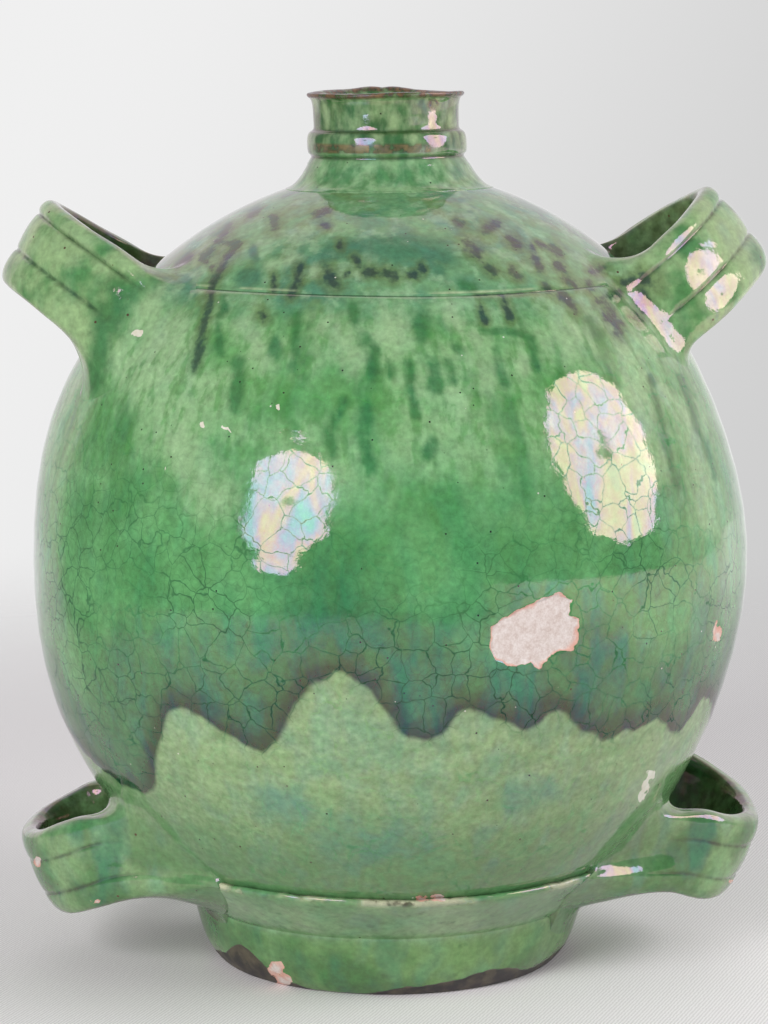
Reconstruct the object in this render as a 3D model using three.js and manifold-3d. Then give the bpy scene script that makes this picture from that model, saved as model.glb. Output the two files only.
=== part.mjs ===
// Olive oil jug in green-glazed earthenware: a wheel-thrown globe closed by a
// luted shoulder dome, with a thrown neck, a flared foot ring and four pulled
// strap handles, two lifted from the shoulder and two drooping over the foot.
// Millimetres, +Z up. The origin is on the jug's axis, at the table.
import * as THREE from "three";
import { mergeVertices } from "three/addons/utils/BufferGeometryUtils.js";
import Module from "manifold-3d";

const wasm = await Module();
wasm.setup();

// Globe
const BELLY_RADIUS = 164; // outside, at the widest ring
const DOME_RISE = 174; // outside, widest ring to the crown of the globe
const BOWL_DROP = 188; // outside, widest ring to the pole of the globe
const WALL = 8; // thrown wall
const FLOOR_RADIUS = 58; // flat underside of the globe
const FLOOR_HEIGHT = 14.1; // that underside above the table
const FLOOR_THICKNESS = 11;
const SHOULDER_RISE = 126; // lute line of the dome above the widest ring
const SHOULDER_GROOVE_DEPTH = 1.2;
const SHOULDER_GROOVE_WIDTH = 3;
const LUTE = 0.3; // slip joint between two luted pieces

// Neck
const NECK_SEAT_RADIUS = 47.5; // skirt of the neck on the dome
const NECK_SKIRT_EDGE = 1; // blunt edge of that skirt
const NECK_RISE = 43.3; // lip above the skirt
const NECK_BORE = 29;
const NECK_WAIST_RADIUS = 35.2; // narrowest ring, above the skirt
const NECK_WAIST_RISE = 14.3; // above the skirt
const CORDON_RADIUS = 36;
const CORDON_RISE = 20.9; // centre of the raised ring above the skirt
const CORDON_HEIGHT = 10;
const COLLAR_RADIUS = 33; // straight wall between the cordon and the lip
const LIP_RADIUS = 35.5;
const LIP_HEIGHT = 4;

// Foot ring
const FOOT_BASE_RADIUS = 79; // outside of the face that rests on the table
const FOOT_BORE = 66; // the globe's seat ends at its upper edge
const FOOT_BEVEL_RADIUS = 86; // outside at the top of the bevel
const FOOT_BEVEL_HEIGHT = 8;
const FOOT_GROOVE_RADIUS = 92; // outside at the turned groove
const FOOT_GROOVE_HEIGHT = 30;
const FOOT_GROOVE_DEPTH = 0.9;
const FOOT_GROOVE_WIDTH = 2.6;
const FOOT_SEAM_RADIUS = 113.5; // circle of the globe where the foot ends
const FOOT_LEDGE = 2.6; // the foot's top edge stands out this far

// Strap handles
const STRAP_GROOVE_WIDTH = 4;
const STRAP_GROOVE_DEPTH = 1.7;
const STRAP_EDGE_POWER = 4; // roundness of the strap's section
const LOOP_POWER = 2.2; // squareness of the loop
const LOOP_LEG = 34; // straight leg that is cut to the globe
const FILLET_SPREAD = 0.65; // spread of a fillet on the globe, as a share of its height
const SAG_REACH = 18; // legs that sag do so from this far out to as far in
// A pair's legs are a span apart, centre to centre. Grooves are pressed along
// the strap, as shares of its width above the middle. Fillets blend the roots
// into the globe, and a sag draws the legs down to the foot.
const UPPER_PAIR = {
  span: 98,
  thickness: 10,
  grooves: [-0.13, 0.31],
  fillet: { outer: 22, inner: 9, top: 14, bottom: 18 },
  sag: 0,
};
const LOWER_PAIR = {
  span: 100,
  thickness: 12,
  grooves: [-0.21, 0.19],
  fillet: { outer: 22, inner: 8, top: 6, bottom: 14 },
  sag: 11,
};
// Where each handle springs from the globe (seat, above the widest ring), the
// gap that it leaves to the globe, its strap's width, and its lift in degrees.
const UPPER_LEFT = { seat: 114, gap: 39, width: 43, lift: 36 };
const UPPER_RIGHT = { seat: 118, gap: 42.5, width: 46, lift: 39 };
const LOWER_LEFT = { seat: -129, gap: 38, width: 35, lift: -25 };
const LOWER_RIGHT = { seat: -123, gap: 36.5, width: 40, lift: -23 };

// Glaze colours
const UPPER_COAT = 0x4f9360;
const LOWER_COAT = 0x7fae7c;
const NECK_COAT = 0x57824f;
const HANDLE_COAT = 0x5c9a66;

// Facets
const ROUND_FACETS = 48; // round the wheel-thrown pieces
const GLOBE_STEP = 9; // degrees of the globe's profile
const FLARE_STEPS = 7; // skirt of the neck
const MOULDING_STEPS = 6; // cordon of the neck
const LEG_STEPS = 8;
const ARCH_STEPS = 20;

const degrees = THREE.MathUtils.degToRad;

// Height of the widest ring above the table
const flatShare = FLOOR_RADIUS / BELLY_RADIUS;
const bellyHeight = FLOOR_HEIGHT + BOWL_DROP * Math.sqrt(1 - flatShare * flatShare);

// The globe's outside, or an offset of it, as a radius at a height and back
const globeSemi = (above, offset) => (above ? DOME_RISE : BOWL_DROP) + offset;
function globeHeight(radius, above, offset = 0) {
  const share = radius / (BELLY_RADIUS + offset);
  const rise = globeSemi(above, offset) * Math.sqrt(1 - share * share);
  return bellyHeight + (above ? rise : -rise);
}
function globeRadius(height, offset = 0) {
  const rise = height - bellyHeight;
  const share = rise / globeSemi(rise > 0, offset);
  return (BELLY_RADIUS + offset) * Math.sqrt(1 - share * share);
}
// Distance of a point outside the globe, near enough for shaping fillets
function aboveGlobe(point) {
  const rise = point.z - bellyHeight;
  const scaled = Math.hypot(Math.hypot(point.x, point.y) / BELLY_RADIUS, rise / globeSemi(rise > 0, 0));
  return (scaled - 1) * BELLY_RADIUS;
}

// Profile points along the globe between two heights, ends included. All arcs
// share one set of angles, so that two pieces that nest keep their gap.
function globeArc(from, to, offset = 0) {
  const angleAt = (height) => {
    const rise = height - bellyHeight;
    return Math.asin(rise / globeSemi(rise > 0, offset));
  };
  const step = degrees(GLOBE_STEP);
  const low = Math.min(angleAt(from), angleAt(to));
  const high = Math.max(angleAt(from), angleAt(to));
  const first = Math.ceil(low / step + 0.02);
  const last = Math.floor(high / step - 0.02);
  const between = Array.from({ length: Math.max(0, last - first + 1) }, (_, i) => (first + i) * step);
  const arc = [low, ...between, high].map((angle) => [
    (BELLY_RADIUS + offset) * Math.cos(angle),
    bellyHeight + globeSemi(angle > 0, offset) * Math.sin(angle),
  ]);
  return from < to ? arc : arc.reverse();
}

// A closed profile of [radius, height] points turned about the axis
function turned(profile) {
  const points = profile.map(([radius, height]) => new THREE.Vector2(radius, height));
  if (points[0].x > 0) points.push(points[0].clone());
  const geometry = new THREE.LatheGeometry(points, ROUND_FACETS);
  geometry.rotateX(Math.PI / 2); // the lathe's axis is +Y
  return geometry;
}

// A closed geometry as a solid for cutting, and back
function solidOf(geometry) {
  const bare = new THREE.BufferGeometry();
  bare.setAttribute("position", geometry.getAttribute("position"));
  bare.setIndex(geometry.index);
  const merged = mergeVertices(bare, 1e-3);
  return new wasm.Manifold(
    new wasm.Mesh({
      numProp: 3,
      vertProperties: merged.attributes.position.array,
      triVerts: new Uint32Array(merged.index.array),
    }),
  );
}
function geometryOf(solid) {
  const mesh = solid.getMesh();
  const geometry = new THREE.BufferGeometry();
  geometry.setAttribute("position", new THREE.BufferAttribute(mesh.vertProperties, 3));
  geometry.setIndex(new THREE.BufferAttribute(mesh.triVerts, 1));
  geometry.computeVertexNormals();
  return geometry;
}

function glazed(name, geometry, color) {
  const material = new THREE.MeshStandardMaterial({ color, roughness: 0.14, metalness: 0 });
  const mesh = new THREE.Mesh(geometry, material);
  mesh.name = name;
  return mesh;
}

// Lute line between the belly and the dome: a flat butt joint behind a V groove
const shoulderHeight = bellyHeight + SHOULDER_RISE;
const grooveFoot = shoulderHeight - SHOULDER_GROOVE_WIDTH / 2;
const grooveHead = shoulderHeight + SHOULDER_GROOVE_WIDTH / 2;
const shoulderRoot = globeRadius(shoulderHeight) - SHOULDER_GROOVE_DEPTH;

function belly() {
  const rim = shoulderHeight - LUTE / 2;
  const floorTop = FLOOR_HEIGHT + FLOOR_THICKNESS;
  return turned([
    [0, FLOOR_HEIGHT],
    ...globeArc(FLOOR_HEIGHT, grooveFoot),
    [shoulderRoot, rim],
    ...globeArc(rim, floorTop, -WALL),
    [0, floorTop],
  ]);
}

function shoulderDome() {
  const rim = shoulderHeight + LUTE / 2;
  return turned([
    [shoulderRoot, rim],
    ...globeArc(grooveHead, globeHeight(NECK_BORE, true)),
    ...globeArc(globeHeight(NECK_BORE, true, -WALL), rim, -WALL),
  ]);
}

// Points of a half-round moulding between two heights of a thrown wall
function moulding(low, high, foot, crown) {
  return Array.from({ length: MOULDING_STEPS + 1 }, (_, i) => {
    const angle = (Math.PI * i) / MOULDING_STEPS;
    return [foot + (crown - foot) * Math.sin(angle), low + ((high - low) * (1 - Math.cos(angle))) / 2];
  });
}

function neck() {
  const skirt = globeHeight(NECK_SEAT_RADIUS, true, LUTE);
  const lip = skirt + NECK_RISE;
  const waist = skirt + NECK_WAIST_RISE;
  const cordon = skirt + CORDON_RISE;
  const flareFoot = skirt + NECK_SKIRT_EDGE;
  const flare = Array.from({ length: FLARE_STEPS + 1 }, (_, i) => {
    const angle = (Math.PI / 2) * (1 - i / FLARE_STEPS);
    return [
      NECK_SEAT_RADIUS - (NECK_SEAT_RADIUS - NECK_WAIST_RADIUS) * Math.cos(angle),
      waist - (waist - flareFoot) * Math.sin(angle),
    ];
  });
  const ring = moulding(cordon - CORDON_HEIGHT / 2, cordon + CORDON_HEIGHT / 2, COLLAR_RADIUS, CORDON_RADIUS);
  const under = lip - LIP_HEIGHT;
  const wall = (LIP_RADIUS - NECK_BORE) / 2;
  return turned([
    ...globeArc(globeHeight(NECK_BORE, true, LUTE), skirt, LUTE),
    ...flare,
    ...ring.slice(1),
    [COLLAR_RADIUS, under - LIP_HEIGHT / 2],
    [LIP_RADIUS - wall / 2, under],
    [LIP_RADIUS, under + LIP_HEIGHT / 2],
    [LIP_RADIUS - wall / 3, lip],
    [NECK_BORE + wall / 2, lip],
    [NECK_BORE, under + LIP_HEIGHT / 2],
  ]);
}

// Outside of the foot, from the table up to its top edge on the globe
const footTop = globeHeight(FOOT_SEAM_RADIUS, false, LUTE);
function footOutside(offset = 0) {
  const half = FOOT_GROOVE_WIDTH / 2;
  const grooveShoulder = FOOT_GROOVE_RADIUS + offset;
  return [
    [FOOT_BASE_RADIUS + offset, 0],
    [FOOT_BEVEL_RADIUS + offset, FOOT_BEVEL_HEIGHT],
    [grooveShoulder, FOOT_GROOVE_HEIGHT - half],
    [grooveShoulder - FOOT_GROOVE_DEPTH, FOOT_GROOVE_HEIGHT],
    [grooveShoulder + FOOT_GROOVE_DEPTH, FOOT_GROOVE_HEIGHT + half],
    [FOOT_SEAM_RADIUS + FOOT_LEDGE + offset, footTop - FOOT_LEDGE],
    [FOOT_SEAM_RADIUS + FOOT_LEDGE + offset, footTop],
  ];
}

function footRing() {
  const seatEnd = globeHeight(FOOT_BORE, false, LUTE);
  return turned([[FOOT_BORE, 0], ...footOutside(), ...globeArc(footTop, seatEnd, LUTE)]);
}

// What the handles are cut to: the globe and the foot, grown by the slip joint
function seatSolid() {
  const top = globeHeight(NECK_BORE, true);
  const outside = [...globeArc(FLOOR_HEIGHT, grooveFoot, LUTE), ...globeArc(grooveHead, top, LUTE)];
  const globe = solidOf(turned([[0, FLOOR_HEIGHT], ...outside, [0, top]]));
  const foot = solidOf(turned([[0, 0], ...footOutside(LUTE), [0, footTop + LUTE]]));
  return globe.add(foot);
}

// The strap's section: rounded edges, a plain inner face, and grooves pressed
// along the outer face
function strapSection(width, thickness, grooves) {
  const half = width / 2;
  const bulge = (share) => Math.pow(1 - Math.pow(Math.abs(share), STRAP_EDGE_POWER), 1 / STRAP_EDGE_POWER);
  const pointAt = (side, depth) => (share) => ({
    across: share * half,
    out: ((side * thickness) / 2) * bulge(share),
    depth,
  });
  const lip = STRAP_GROOVE_WIDTH / width;
  const rib = grooves[0] + grooves[1];
  const bottoms = grooves.map((groove) => 2 * groove);
  const plain = [-0.985, -0.93, -0.8, rib, 0.8, 0.93, 0.985];
  const banks = bottoms.flatMap((bottom) => [bottom - lip, bottom + lip]);
  const outer = [
    ...[...plain, ...banks].map(pointAt(1, 0)),
    ...bottoms.map(pointAt(1, STRAP_GROOVE_DEPTH)),
  ].sort((a, b) => a.across - b.across);
  const inner = [0.93, 0.6, 0, -0.6, -0.93].map(pointAt(-1, 0));
  return [pointAt(1, 0)(-1), ...outer, pointAt(1, 0)(1), ...inner];
}

// Centre line of a loop: [outward, along the globe, sideways of the loop's plane]
function loopLine(reach, span, sag) {
  const power = 2 / LOOP_POWER;
  const bend = (value) => Math.sign(value) * Math.pow(Math.abs(value), power);
  const arch = Array.from({ length: ARCH_STEPS + 1 }, (_, i) => {
    const angle = (Math.PI * i) / ARCH_STEPS;
    return [reach * bend(Math.sin(angle)), (-span / 2) * bend(Math.cos(angle))];
  });
  const leg = Array.from({ length: LEG_STEPS }, (_, i) => -LOOP_LEG * (1 - i / LEG_STEPS));
  const legs = (side) => leg.map((out) => [out, (side * span) / 2]);
  return [...legs(-1), ...arch, ...legs(1).reverse()].map(([out, along]) => {
    const droop = 1 - THREE.MathUtils.smoothstep(out, -SAG_REACH, SAG_REACH);
    return [out, along, -sag * droop];
  });
}

// A hollow fillet: how far a skin at this height above the globe spreads
function spread(height, radius) {
  const near = 1 - THREE.MathUtils.clamp(height, 0, radius) / radius;
  return FILLET_SPREAD * radius * near * near;
}

// Rings of points joined into one closed skin with flat ends
function skin(rings) {
  const count = rings[0].length;
  const points = rings.flat();
  const index = [];
  for (let ring = 0; ring + 1 < rings.length; ring++) {
    for (let i = 0; i < count; i++) {
      const a = ring * count + i;
      const b = ring * count + ((i + 1) % count);
      index.push(a, b, a + count, b, b + count, a + count);
    }
  }
  for (const [start, flip] of [[0, true], [(rings.length - 1) * count, false]]) {
    for (let i = 1; i + 1 < count; i++) {
      index.push(start, start + (flip ? i + 1 : i), start + (flip ? i : i + 1));
    }
  }
  const geometry = new THREE.BufferGeometry();
  geometry.setFromPoints(points);
  geometry.setIndex(index);
  return geometry;
}

function strapHandle(side, { span, thickness, grooves, fillet, sag }, { seat, gap, width, lift }, seatOf) {
  const height = bellyHeight + seat;
  const root = new THREE.Vector3(side * globeRadius(height), 0, height);
  const tilt = degrees(lift);
  const outward = new THREE.Vector3(side * Math.cos(tilt), 0, Math.sin(tilt));
  const along = new THREE.Vector3(0, 1, 0);
  const across = new THREE.Vector3().crossVectors(outward, along).multiplyScalar(side);
  const line = loopLine(gap + thickness / 2, span, sag).map(([u, w, n]) =>
    root.clone().addScaledVector(outward, u).addScaledVector(along, w).addScaledVector(across, n),
  );
  const section = strapSection(width, thickness, grooves);
  const rings = line.map((centre, i) => {
    const before = line[Math.max(0, i - 1)];
    const after = line[Math.min(line.length - 1, i + 1)];
    const tangent = after.clone().sub(before).normalize();
    const out = new THREE.Vector3().crossVectors(tangent, across).multiplyScalar(side).normalize();
    return section.map(({ across: a, out: b, depth }) => {
      const offset = across.clone().multiplyScalar(a).addScaledVector(out, b);
      const point = centre.clone().add(offset);
      const edge = a > 0 ? fillet.top : fillet.bottom;
      const face = b > 0 ? fillet.outer : fillet.inner;
      const share = Math.abs(a) / (width / 2);
      const radius = Math.hypot(edge * share, face * (1 - share * share));
      const grown = spread(aboveGlobe(point), radius);
      const fade = 1 - THREE.MathUtils.clamp(grown / STRAP_GROOVE_DEPTH, 0, 1);
      const push = offset.clone().normalize();
      return point.addScaledVector(push, grown).addScaledVector(out, -depth * fade);
    });
  });
  const loop = solidOf(skin(side < 0 ? rings : rings.map((ring) => ring.toReversed())));
  return geometryOf(loop.subtract(seatOf));
}

const jug = new THREE.Group();
jug.add(glazed("belly", belly(), UPPER_COAT));
jug.add(glazed("shoulder_dome", shoulderDome(), UPPER_COAT));
jug.add(glazed("neck", neck(), NECK_COAT));
jug.add(glazed("foot_ring", footRing(), LOWER_COAT));
const seatOf = seatSolid();
jug.add(glazed("upper_left_handle", strapHandle(-1, UPPER_PAIR, UPPER_LEFT, seatOf), HANDLE_COAT));
jug.add(glazed("upper_right_handle", strapHandle(1, UPPER_PAIR, UPPER_RIGHT, seatOf), HANDLE_COAT));
jug.add(glazed("lower_left_handle", strapHandle(-1, LOWER_PAIR, LOWER_LEFT, seatOf), HANDLE_COAT));
jug.add(glazed("lower_right_handle", strapHandle(1, LOWER_PAIR, LOWER_RIGHT, seatOf), HANDLE_COAT));

export default jug;
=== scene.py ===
# Olive oil jug in green-glazed earthenware, modelled as it was made: thrown belly, dome, neck
# and foot ring, four pulled strap handles, and a lead glaze poured over in two coats.
# Sizes are in millimetres unless said otherwise; the meshes are in metres, +Z up.
import math

import bpy
import numpy as np
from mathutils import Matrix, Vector
from mathutils.kdtree import KDTree


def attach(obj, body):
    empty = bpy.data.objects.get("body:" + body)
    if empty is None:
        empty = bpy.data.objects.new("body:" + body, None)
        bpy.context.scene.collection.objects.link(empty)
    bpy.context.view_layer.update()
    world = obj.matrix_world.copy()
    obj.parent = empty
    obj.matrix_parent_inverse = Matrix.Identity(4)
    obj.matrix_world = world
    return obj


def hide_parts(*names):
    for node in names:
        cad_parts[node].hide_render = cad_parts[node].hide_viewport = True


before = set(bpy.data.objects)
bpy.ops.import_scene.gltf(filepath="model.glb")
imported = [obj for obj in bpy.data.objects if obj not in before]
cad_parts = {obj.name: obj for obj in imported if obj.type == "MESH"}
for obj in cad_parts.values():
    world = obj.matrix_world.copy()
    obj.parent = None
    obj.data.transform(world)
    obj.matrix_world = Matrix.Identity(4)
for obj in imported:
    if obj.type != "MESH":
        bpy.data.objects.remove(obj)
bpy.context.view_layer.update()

MM = 0.001

# Globe
BELLY_RADIUS = 164
DOME_RISE = 174
BOWL_DROP = 188
WALL = 8
FLOOR_RADIUS = 58
FLOOR_HEIGHT = 14.1
FLOOR_THICKNESS = 11
EQUATOR = FLOOR_HEIGHT + BOWL_DROP * math.sqrt(1 - (FLOOR_RADIUS / BELLY_RADIUS) ** 2)
SHOULDER = EQUATOR + 126  # incised line between belly and dome
GROOVE_DEPTH = 0.55
GROOVE_HALF = 1.2

# Neck
NECK_SEAT_RADIUS = 47.5
NECK_BORE = 29

# Foot ring
FOOT_BORE = 66
FOOT_TOP = 53.8
FOOT_WALL = [(79, 0), (86, 8), (92, 29), (116, 51.5), (116, FOOT_TOP)]

# Strap handles
SAG_REACH = 18  # the legs sag from this far outside the globe's skin to as far inside

# Camera, fitted to the photograph
CAMERA_DISTANCE = 1500
CAMERA_HEIGHT = 422
CAMERA_PITCH = math.radians(8.15)
CAMERA_TURN = math.radians(4)  # the camera stands this far round to the left
PHOTO = (768, 1024)
FOCAL_PIXELS = 3277
AXIS_PIXEL = (388, 512)
PIXEL = CAMERA_DISTANCE / FOCAL_PIXELS  # millimetres at the jug

# Fineness of the meshes
WHEEL_STEPS = 384
ARC_STEP = 0.8  # degrees of the globe's section
INSIDE_STEP = 4  # and of its inside
STRAP_POINTS = 168  # round a strap
LOOP_RINGS = 120  # along its loop
ROOT_RINGS = 34  # along each of its roots

# Glaze
PLATE = 11  # width of a plate of the crazing
NO_STROKE = -3.0  # far from every stroke
UNBROKEN = -20.0  # far from every chip
COVERED = 200  # far above the drip line
DRIP_START = -100  # degrees at which the drip line starts and ends, behind the left handles


# Shape of the globe and the foot

def from_line(spot, a, b):
    """Distance of flat points from the line between two ends."""
    along = b - a
    t = np.clip((spot - a) @ along / (along @ along), 0, 1)
    return np.linalg.norm(spot - a - t[:, None] * along, axis=1)


def inside_ring(spot, ring):
    """How deep flat points lie inside a closed ring of points."""
    best = np.full(len(spot), np.inf)
    inside = np.zeros(len(spot), bool)
    for a, b in zip(ring, np.roll(ring, -1, axis=0)):
        best = np.minimum(best, from_line(spot, a, b))
        if a[1] != b[1]:
            crosses = (spot[:, 1] < a[1]) != (spot[:, 1] < b[1])
            inside ^= crosses & (spot[:, 0] < a[0] + (spot[:, 1] - a[1]) * (b[0] - a[0]) / (b[1] - a[1]))
    return np.where(inside, best, -best)


def semi_height(height):
    """The globe is a little taller below its widest line than above it."""
    return np.where(height > EQUATOR, DOME_RISE, BOWL_DROP)


def globe_radius(height):
    return BELLY_RADIUS * np.sqrt(1 - ((height - EQUATOR) / semi_height(height)) ** 2)


def globe_height(radius, semi=DOME_RISE):
    """Height of the globe's skin above its widest line or, by a rise below nothing, under it."""
    return EQUATOR + semi * math.sqrt(1 - (radius / BELLY_RADIUS) ** 2)


def globe_arc(low, high, inset=0, step=ARC_STEP):
    """Section points along the globe between two heights, or along its inside."""
    ends = [math.asin((height - EQUATOR) / (semi_height(height) - inset)) for height in (low, high)]
    count = max(2, round(abs(ends[1] - ends[0]) / math.radians(step)) + 1)
    arc = []
    for t in np.linspace(*ends, count):
        semi = (DOME_RISE if t > 0 else BOWL_DROP) - inset
        arc.append(((BELLY_RADIUS - inset) * math.cos(t), EQUATOR + semi * math.sin(t)))
    return arc


def globe_size(p):
    """How large the globe through each point is: 1 on the jug's own skin."""
    return np.sqrt((p[:, 0] / BELLY_RADIUS) ** 2 + (p[:, 1] / BELLY_RADIUS) ** 2
                   + ((p[:, 2] - EQUATOR) / semi_height(p[:, 2])) ** 2)


def globe_distance(p):
    """Distance outside the globe, true near its skin."""
    size = globe_size(p)
    steep = np.sqrt((p[:, 0] / BELLY_RADIUS ** 2) ** 2 + (p[:, 1] / BELLY_RADIUS ** 2) ** 2
                    + ((p[:, 2] - EQUATOR) / semi_height(p[:, 2]) ** 2) ** 2)
    return size * (size - 1) / steep


def from_axis(p):
    return np.hypot(p[:, 0], p[:, 1])


def foot_distance(p):
    """Distance outside the foot, from its section."""
    spot = np.stack([from_axis(p), p[:, 2]], axis=1)
    ring = np.array([(0, 0)] + FOOT_WALL + [(0, FOOT_TOP)], float)
    return -inside_ring(spot, ring)


def jug_distance(p, blend=4.0):
    """Distance outside the globe and the foot together, rounded where they meet."""
    a, b = globe_distance(p), foot_distance(p)
    mix = np.clip(0.5 + 0.5 * (b - a) / blend, 0, 1)
    return b * (1 - mix) + a * mix - blend * mix * (1 - mix)


def slope_of(field, p, step=0.05):
    """Unit vectors that point straight out of a distance field."""
    g = np.empty_like(p)
    for axis in range(3):
        shift = np.zeros(3)
        shift[axis] = step
        g[:, axis] = field(p + shift) - field(p - shift)
    return g / np.linalg.norm(g, axis=1, keepdims=True)


def smooth(value, low, high):
    t = np.clip((value - low) / (high - low), 0, 1)
    return t * t * (3 - 2 * t)


def hand_wobble(p):
    """No clay piece is quite true: every piece leans and swells a little, all of them together."""
    x, y, z = p.T / 100
    grip = smooth(p[:, 2], 0, 60)
    lean = np.stack([
        0.7 * np.sin(4.1 * z + 1.7 * y + 0.4) + 0.35 * np.sin(7.3 * y - 5.1 * z),
        0.6 * np.sin(3.7 * z - 2.2 * x + 1.9),
        0.5 * np.sin(3.3 * x + 2.6 * y + 0.8) * grip,
    ], axis=1)
    return p + lean * (0.25 + 0.75 * grip[:, None])


# The photograph's pixels and the jug

def camera_axes():
    """The camera's place, and its right, up and forward directions."""
    turn, pitch = CAMERA_TURN, CAMERA_PITCH
    eye = np.array([-CAMERA_DISTANCE * math.sin(turn), -CAMERA_DISTANCE * math.cos(turn), CAMERA_HEIGHT])
    right = np.array([math.cos(turn), -math.sin(turn), 0])
    up = np.array([math.sin(turn) * math.sin(pitch), math.cos(turn) * math.sin(pitch), math.cos(pitch)])
    return eye, right, up, np.cross(up, right)


def to_pixels(p):
    eye, right, up, forward = camera_axes()
    ray = p - eye
    depth = ray @ forward
    return np.stack([AXIS_PIXEL[0] + FOCAL_PIXELS * (ray @ right) / depth,
                     AXIS_PIXEL[1] - FOCAL_PIXELS * (ray @ up) / depth], axis=1)


def on_globe(pixels):
    """Points of the globe that the photograph shows at these pixels."""
    eye, right, up, forward = camera_axes()
    pixels = np.asarray(pixels, float)
    ray = (forward + np.outer((pixels[:, 0] - AXIS_PIXEL[0]) / FOCAL_PIXELS, right)
           + np.outer((AXIS_PIXEL[1] - pixels[:, 1]) / FOCAL_PIXELS, up))
    ray /= np.linalg.norm(ray, axis=1, keepdims=True)
    p = eye + ray * (CAMERA_DISTANCE - 1.2 * BELLY_RADIUS)
    for _ in range(60):
        p = p + ray * np.clip(globe_distance(p), -4, 40)[:, None] * 0.9
    return p


def seen(p):
    """Whether the globe's side at a point faces the photograph's camera."""
    eye = camera_axes()[0]
    return np.einsum("ij,ij->i", slope_of(globe_distance, p), eye - p) > 0


# Meshes

def points_of(piece):
    flat = np.empty(len(piece.data.vertices) * 3)
    piece.data.vertices.foreach_get("co", flat)
    return flat.reshape(-1, 3) / MM


def move_points(piece, p):
    piece.data.vertices.foreach_set("co", (p * MM).astype(np.float32).ravel())
    piece.data.update()


def paint(piece, name, values):
    """Keeps one number, or one vector, on each point for the glaze to read."""
    values = np.asarray(values, np.float32)
    kind, field = ("FLOAT", "value") if values.ndim == 1 else ("FLOAT_VECTOR", "vector")
    piece.data.attributes.new(name, kind, "POINT").data.foreach_set(field, values.ravel())


def soften(wall, rounds=2):
    """Rounds a section's corners, as wet fingers do."""
    for _ in range(rounds):
        cut = [wall[0]]
        for (r0, z0), (r1, z1) in zip(wall, wall[1:]):
            cut += [(r0 + t * (r1 - r0), z0 + t * (z1 - z0)) for t in (0.25, 0.75)]
        wall = cut + [wall[-1]]
    return wall


def face_outwards(corner):
    """Turns the active piece's faces outwards and shades it smooth, but for edges of more degrees."""
    bpy.ops.object.mode_set(mode="EDIT")
    bpy.ops.mesh.select_all(action="SELECT")
    bpy.ops.mesh.normals_make_consistent(inside=False)
    bpy.ops.object.mode_set(mode="OBJECT")
    bpy.ops.object.shade_smooth_by_angle(angle=math.radians(corner))


def cut_finer(piece, kind, chosen, cuts):
    """Subdivides the chosen edges or faces of the active piece."""
    bpy.ops.object.mode_set(mode="EDIT")
    bpy.ops.mesh.select_all(action="DESELECT")
    bpy.ops.mesh.select_mode(type=kind)
    bpy.ops.object.mode_set(mode="OBJECT")
    parts = piece.data.polygons if kind == "FACE" else piece.data.edges
    parts.foreach_set("select", chosen)
    bpy.ops.object.mode_set(mode="EDIT")
    bpy.ops.mesh.subdivide(number_cuts=cuts)
    bpy.ops.object.mode_set(mode="OBJECT")


def thrown(name, wall):
    """A ring of points bent to a wall's section, (radius, height), and spun on the wheel."""
    bpy.ops.object.select_all(action="DESELECT")
    bpy.ops.mesh.primitive_circle_add(vertices=len(wall), radius=BELLY_RADIUS * MM)
    piece = bpy.context.object
    piece.name = piece.data.name = name
    for vertex, (radius, height) in zip(piece.data.vertices, wall):
        vertex.co = (0, -radius * MM, height * MM)
    bpy.ops.object.modifier_add(type="SCREW")
    wheel = piece.modifiers[-1]
    wheel.steps = wheel.render_steps = WHEEL_STEPS
    bpy.ops.object.modifier_apply(modifier=wheel.name)
    bpy.ops.object.mode_set(mode="EDIT")
    bpy.ops.mesh.select_all(action="SELECT")
    bpy.ops.mesh.remove_doubles(threshold=0.01 * MM)
    bpy.ops.mesh.delete_loose()
    face_outwards(50)
    return piece


def tube(name, rings, points):
    """A cylinder cut into rings, and for each of its points the place in a list of rings."""
    bpy.ops.object.select_all(action="DESELECT")
    bpy.ops.mesh.primitive_cylinder_add(vertices=points, radius=1, depth=2)
    piece = bpy.context.object
    piece.name = piece.data.name = name
    ends = [vertex.co[2] for vertex in piece.data.vertices]
    upright = [ends[edge.vertices[0]] * ends[edge.vertices[1]] < 0 for edge in piece.data.edges]
    cut_finer(piece, "EDGE", upright, rings - 2)
    x, y, z = points_of(piece).T * MM
    ring = np.rint((z + 1) / 2 * (rings - 1)).astype(int)
    spot = np.rint(np.arctan2(y, x) / (2 * math.pi) * points).astype(int) % points
    return piece, ring * points + spot


def finish_piece(piece, node, material):
    piece.data.materials.clear()
    piece.data.materials.append(material)
    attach(piece, "root")
    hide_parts(node)


# Colours and nodes

def srgb(code):
    """An sRGB hex colour as linear light."""
    channels = [int(code[i:i + 2], 16) / 255 for i in (1, 3, 5)]
    return [c / 12.92 if c <= 0.04045 else ((c + 0.055) / 1.055) ** 2.4 for c in channels] + [1]


def every(size):
    """Scale of a pattern with one feature every so many millimetres."""
    return 1 / (size * MM)


# How a node is set unless said otherwise. Inputs go by name or number: MapRange takes a value at 0, its
# range at 1 and 2, and what that becomes at 3 and 4; Mix takes a share at 0, and two colours at 6 and 7
# or two numbers at 2 and 3.
USUAL = {"Mix": {"data_type": "RGBA"}, "MapRange": {"interpolation_type": "SMOOTHSTEP"}}


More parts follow.
